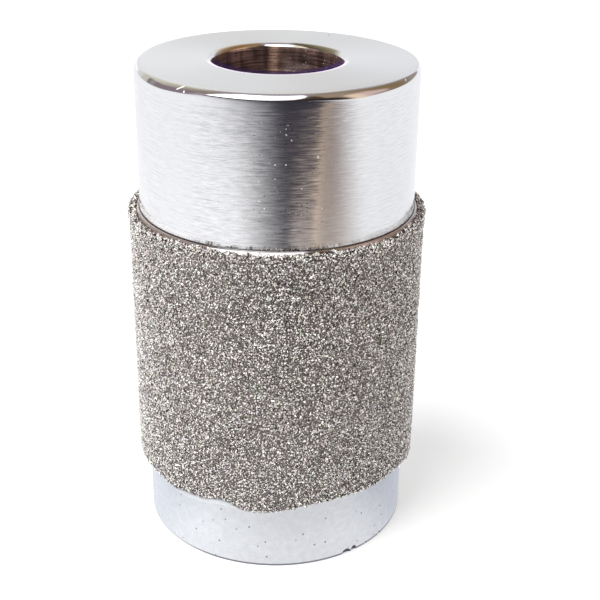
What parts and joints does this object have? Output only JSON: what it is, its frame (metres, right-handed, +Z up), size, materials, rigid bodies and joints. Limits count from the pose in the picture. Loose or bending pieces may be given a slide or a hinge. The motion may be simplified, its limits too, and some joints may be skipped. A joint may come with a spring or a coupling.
{
  "type": "grinding bit",
  "caption": "Sleeve-shaped diamond grinding bit: a plated steel tube with a grit band round its middle, a shaft bore and a set screw.",
  "frame": {"origin": "centre of the lower face, which the bit stands on", "axes": "+Z up the bore towards the taller collar, -Y out of the side that the picture shows, +Y out of the set screw's hole"},
  "size_m": [0.0192, 0.0192, 0.0315],
  "materials": {
    "plated_core": "bright nickel plate, brushed round the collars and polished at the top edge",
    "diamond_grit": "diamond grains held in nickel plate, rough and glittering",
    "set_screw": "black oxide"
  },
  "bodies": {
    "root": {"core": "plated_core", "grit_band": "diamond_grit", "set_screw": "set_screw"}
  },
  "joints": []
}
